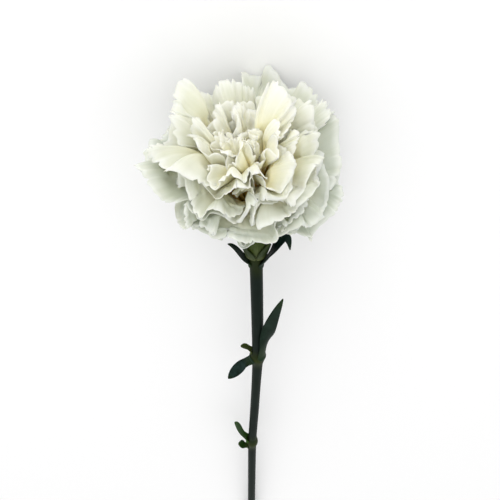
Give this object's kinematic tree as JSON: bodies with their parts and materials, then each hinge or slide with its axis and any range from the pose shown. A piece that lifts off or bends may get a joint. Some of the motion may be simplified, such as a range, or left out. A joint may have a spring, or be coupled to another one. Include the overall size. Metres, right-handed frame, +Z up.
{
  "type": "cut carnation",
  "caption": "Cut white carnation lying on its side: a full double head of toothed petals in a green calyx on a round leafy stem.",
  "frame": {"origin": "middle of the lying flower's footprint, on the surface it rests on", "axes": "+Z up from the surface; +Y along the stem towards its cut end, so the flower's face looks towards -Y; +X across it"},
  "size_m": [0.0732, 0.3202, 0.0674],
  "materials": {
    "outer_petals": "matte",
    "inner_petals": "matte",
    "calyx": "satin",
    "stem": "satin",
    "leaves": "satin",
    "pistil": "satin"
  },
  "bodies": {
    "root": {"stem": "stem", "calyx": "calyx", "epicalyx_scale_1": "calyx", "epicalyx_scale_2": "calyx", "epicalyx_scale_3": "calyx", "epicalyx_scale_4": "calyx", "pistil": "pistil", "guard_petal_1": "outer_petals", "guard_petal_2": "outer_petals", "guard_petal_3": "outer_petals", "guard_petal_4": "outer_petals", "guard_petal_5": "outer_petals", "guard_petal_6": "outer_petals", "guard_petal_7": "outer_petals", "guard_petal_8": "outer_petals", "outer_petal_1": "outer_petals", "outer_petal_2": "outer_petals", "outer_petal_3": "outer_petals", "outer_petal_4": "outer_petals", "outer_petal_5": "outer_petals", "outer_petal_6": "outer_petals", "outer_petal_7": "outer_petals", "outer_petal_8": "outer_petals", "mantle_petal_1": "outer_petals", "mantle_petal_2": "outer_petals", "mantle_petal_3": "outer_petals", "mantle_petal_4": "outer_petals", "mantle_petal_5": "outer_petals", "mantle_petal_6": "outer_petals", "mantle_petal_7": "outer_petals", "middle_petal_1": "inner_petals", "middle_petal_2": "inner_petals", "middle_petal_3": "inner_petals", "middle_petal_4": "inner_petals", "middle_petal_5": "inner_petals", "middle_petal_6": "inner_petals", "middle_petal_7": "inner_petals", "inner_petal_1": "inner_petals", "inner_petal_2": "inner_petals", "inner_petal_3": "inner_petals", "inner_petal_4": "inner_petals", "inner_petal_5": "inner_petals", "inner_petal_6": "inner_petals", "heart_petal_1": "inner_petals", "heart_petal_2": "inner_petals", "heart_petal_3": "inner_petals", "heart_petal_4": "inner_petals", "heart_petal_5": "inner_petals", "centre_petal_1": "inner_petals", "centre_petal_2": "inner_petals", "centre_petal_3": "inner_petals", "centre_petal_4": "inner_petals", "bract_leaf_right": "leaves", "bract_leaf_left": "leaves", "upper_leaf_right": "leaves", "upper_leaf_left": "leaves", "upper_leaf_tip": "leaves", "lower_stub_upper": "leaves", "lower_stub_lower": "leaves"}
  },
  "joints": []
}
